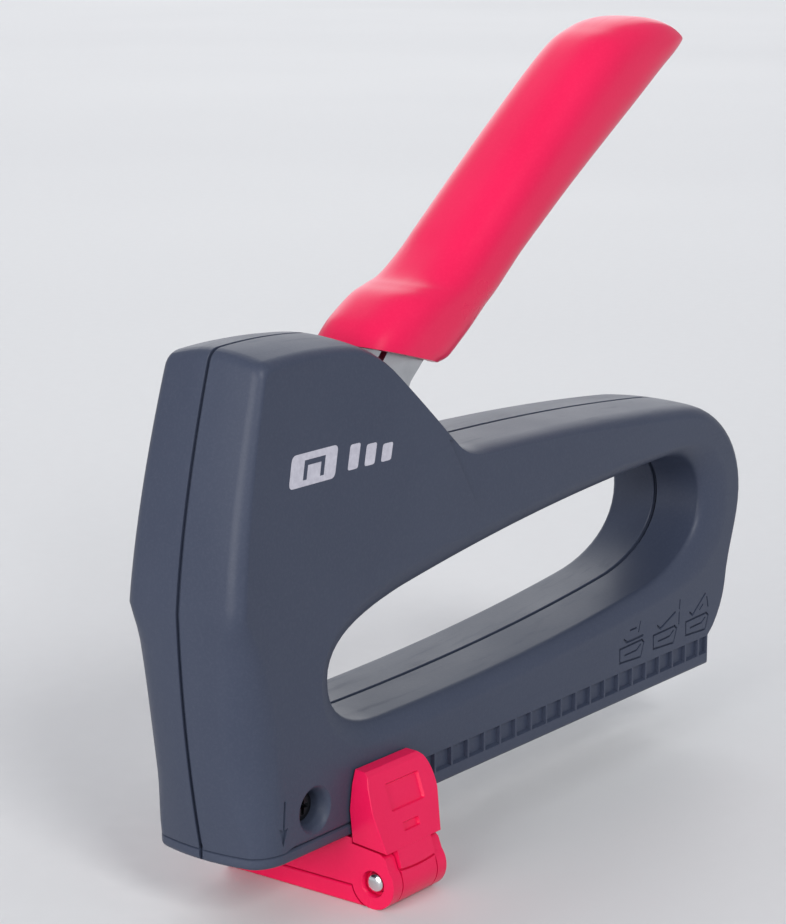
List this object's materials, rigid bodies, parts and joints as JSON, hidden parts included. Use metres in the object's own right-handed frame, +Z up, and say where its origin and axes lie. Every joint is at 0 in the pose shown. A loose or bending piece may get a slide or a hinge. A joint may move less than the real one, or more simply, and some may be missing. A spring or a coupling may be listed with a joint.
{
  "type": "staple gun",
  "caption": "Hand staple gun with a squeeze lever on top, a finger loop, a staple magazine in the lower bar and a clamp-on edge guide.",
  "frame": {"origin": "middle of the nose's flat bottom face, on the strip just in front of the staple slot", "axes": "+X to the rear along the magazine, +Z up away from the work face, -Y to the left side of a user who looks towards the nose"},
  "size_m": [0.1609, 0.0375, 0.1465],
  "materials": {
    "housing": "slate-blue moulded plastic, fine satin texture",
    "red_plastic": "semi-gloss coral-red moulded plastic",
    "steel": "bright pressed steel",
    "dark_steel": "blackened steel",
    "zinc": "zinc-plated steel",
    "chrome": "polished chrome",
    "rubber": "black rubber"
  },
  "bodies": {
    "housing": {"left_shell": "housing", "right_shell": "housing", "nose_foot": "housing", "foot_screw_left": "zinc", "foot_screw_right": "zinc", "nose_screw_left": "dark_steel", "nose_screw_right": "dark_steel", "nose_plate": "steel", "bumper": "rubber", "drive_spring": "zinc", "spring_seat": "zinc", "lever_pivot_pin": "zinc", "lever_return_spring": "zinc", "magazine_channel": "steel", "magazine_core": "steel", "staple_strip": "zinc", "shell_screw_1": "zinc", "shell_screw_2": "zinc", "shell_screw_3": "zinc", "shell_screw_4": "zinc", "shell_screw_5": "zinc"},
    "plunger": {"plunger": "steel", "driver_blade": "steel"},
    "lever": {"lever_core": "dark_steel", "lift_roller": "steel", "roller_pin": "steel", "lever_grip": "red_plastic"},
    "drawer": {"magazine_tail": "dark_steel", "pusher_rod": "steel", "pusher_spring": "zinc"},
    "pusher": {"pusher": "dark_steel"},
    "edge_guide": {"guide_arm": "red_plastic", "guide_sole": "red_plastic", "guide_screw_left": "zinc", "guide_screw_right": "zinc", "guide_pin": "chrome"},
    "guide_latch": {"guide_latch": "red_plastic"}
  },
  "joints": [
    {"name": "lever_squeeze", "type": "hinge", "parent": "housing", "child": "lever", "pos_m": [0.036, 0, 0.06], "axis": [0, 1, 0], "range_deg": [0, 31], "stiffness_Nm_per_rad": 0.4, "springref_deg": -28.65, "deforming": ["lever_return_spring"]},
    {"name": "plunger_lift", "type": "slide", "parent": "housing", "child": "plunger", "axis": [0, 0, 1], "range_m": [0, 0.0126], "deforming": ["drive_spring"]},
    {"name": "magazine_slide", "type": "slide", "parent": "housing", "child": "drawer", "axis": [1, 0, 0], "range_m": [0, 0.075]},
    {"name": "pusher_slide", "type": "slide", "parent": "drawer", "child": "pusher", "axis": [1, 0, 0], "range_m": [0, 0.045], "stiffness_N_per_m": 60, "springref_m": -0.03, "deforming": ["pusher_spring"]},
    {"name": "guide_slide", "type": "slide", "parent": "housing", "child": "edge_guide", "axis": [1, 0, 0], "range_m": [0, 0.095]},
    {"name": "latch_open", "type": "hinge", "parent": "edge_guide", "child": "guide_latch", "pos_m": [0, -0.017, -0.0077], "axis": [1, 0, 0], "range_deg": [0, 100]}
  ],
  "couplings": [
    {"joint": "plunger_lift", "follows": "lever_squeeze", "m_per_rad": 0.0231}
  ]
}
